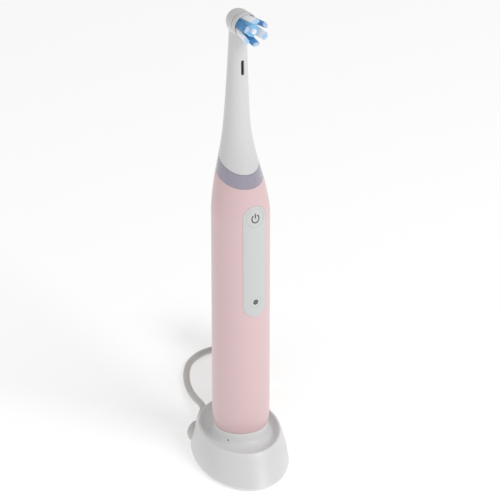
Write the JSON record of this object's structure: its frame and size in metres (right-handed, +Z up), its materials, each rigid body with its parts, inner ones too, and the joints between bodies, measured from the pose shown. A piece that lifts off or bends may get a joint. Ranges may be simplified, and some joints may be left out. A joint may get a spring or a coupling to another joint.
{
  "type": "electric toothbrush on charger",
  "caption": "Rechargeable oscillating toothbrush with a round brush head, standing upright on an oval inductive charger with a coiled mains cord.",
  "frame": {"origin": "on the table plane, at the axis of the upright handle", "axes": "+Z up along the handle towards the brush head, -Y the way the bristles, buttons and panel face, +X the brush's own left"},
  "size_m": [0.1047, 0.1563, 0.2698],
  "materials": {
    "shell_pink": "pearl, softly glossy",
    "panel_grey": "soft-touch, matte",
    "icon_grey": "soft-touch, matte",
    "ring_lilac": "translucent, polished",
    "nose_grey": "glossy",
    "seal_grey": "matte",
    "base_pink": "satin",
    "inner_white": "matte",
    "copper": "enamelled winding wire",
    "cell_green": "shrink sleeve",
    "steel": "plain",
    "board_green": "solder mask",
    "chip_black": "moulded",
    "led_white": "clear",
    "ferrite": "sintered",
    "magnet": "nickel plated",
    "neck_white": "glossy",
    "bristle_blue": "nylon filaments",
    "bristle_white": "nylon filaments",
    "bristle_sky": "nylon filaments",
    "base_white": "satin",
    "foot_rubber": "matte",
    "capacitor_blue": "sleeved",
    "cord_grey": "satin",
    "tie_white": "matte",
    "nickel": "nickel plated"
  },
  "bodies": {
    "charger": {"charger_housing": "base_white", "charger_plate": "base_white", "charger_pad": "foot_rubber", "charger_core": "ferrite", "charger_bobbin": "inner_white", "charger_coil": "copper", "charger_board": "board_green", "charger_capacitors": "capacitor_blue", "charger_chips": "chip_black", "charger_screws": "steel", "strain_relief": "cord_grey", "power_cord": "cord_grey", "cord_tail": "cord_grey", "cord_hank": "cord_grey", "cord_tie": "tie_white", "plug_body": "cord_grey", "plug_pins": "nickel"},
    "handle": {"handle_shell": "shell_pink", "control_panel": "panel_grey", "light_ring": "ring_lilac", "handle_nose": "nose_grey", "nose_seal": "seal_grey", "shaft_seal": "seal_grey", "base_cap": "base_pink", "base_seal": "seal_grey", "charge_bobbin": "inner_white", "charge_coil": "copper", "chassis": "inner_white", "battery_cell": "cell_green", "battery_contacts": "steel", "main_board": "board_green", "board_chips": "chip_black", "tact_switches": "chip_black", "led_board": "board_green", "ring_leds": "led_white", "motor_housing": "steel", "motor_coil": "copper", "motor_springs": "steel"},
    "power_button": {"power_button": "icon_grey"},
    "mode_button": {"mode_button": "icon_grey"},
    "drive_shaft": {"drive_shaft": "steel", "motor_armature": "ferrite", "motor_magnets": "magnet"},
    "brush_head": {"brush_neck": "neck_white", "carrier_pin": "steel", "neck_insert": "inner_white"},
    "link_rod": {"link_rod": "inner_white", "link_magnet": "magnet"},
    "bristle_carrier": {"bristle_carrier": "neck_white", "tufts_dark": "bristle_blue", "tufts_pale": "bristle_white", "tuft_whorl": "bristle_sky", "tuft_core": "bristle_white"}
  },
  "joints": [
    {"name": "handle_lift", "type": "slide", "parent": "charger", "child": "handle", "axis": [0, 0, 1], "range_m": [0, 0.05]},
    {"name": "power_press", "type": "slide", "parent": "handle", "child": "power_button", "axis": [0, 1, 0], "range_m": [0, 0.0005], "stiffness_N_per_m": 2000},
    {"name": "mode_press", "type": "slide", "parent": "handle", "child": "mode_button", "axis": [0, 1, 0], "range_m": [0, 0.0005], "stiffness_N_per_m": 2000},
    {"name": "drive_stroke", "type": "slide", "parent": "handle", "child": "drive_shaft", "axis": [0, 0, 1], "range_m": [-0.0008, 0.0008], "stiffness_N_per_m": 3000},
    {"name": "head_pull", "type": "slide", "parent": "handle", "child": "brush_head", "axis": [0, 0, 1], "range_m": [0, 0.035]},
    {"name": "link_stroke", "type": "slide", "parent": "brush_head", "child": "link_rod", "axis": [0, 0, 1], "range_m": [-0.0008, 0.0008]},
    {"name": "carrier_turn", "type": "hinge", "parent": "brush_head", "child": "bristle_carrier", "pos_m": [0, 0, 0.2621], "axis": [0, -1, 0], "range_deg": [-16.5, 16.5]}
  ],
  "couplings": [
    {"joint": "link_stroke", "follows": "drive_stroke", "ratio": 1},
    {"joint": "carrier_turn", "follows": "drive_stroke", "rad_per_m": 357.14}
  ]
}
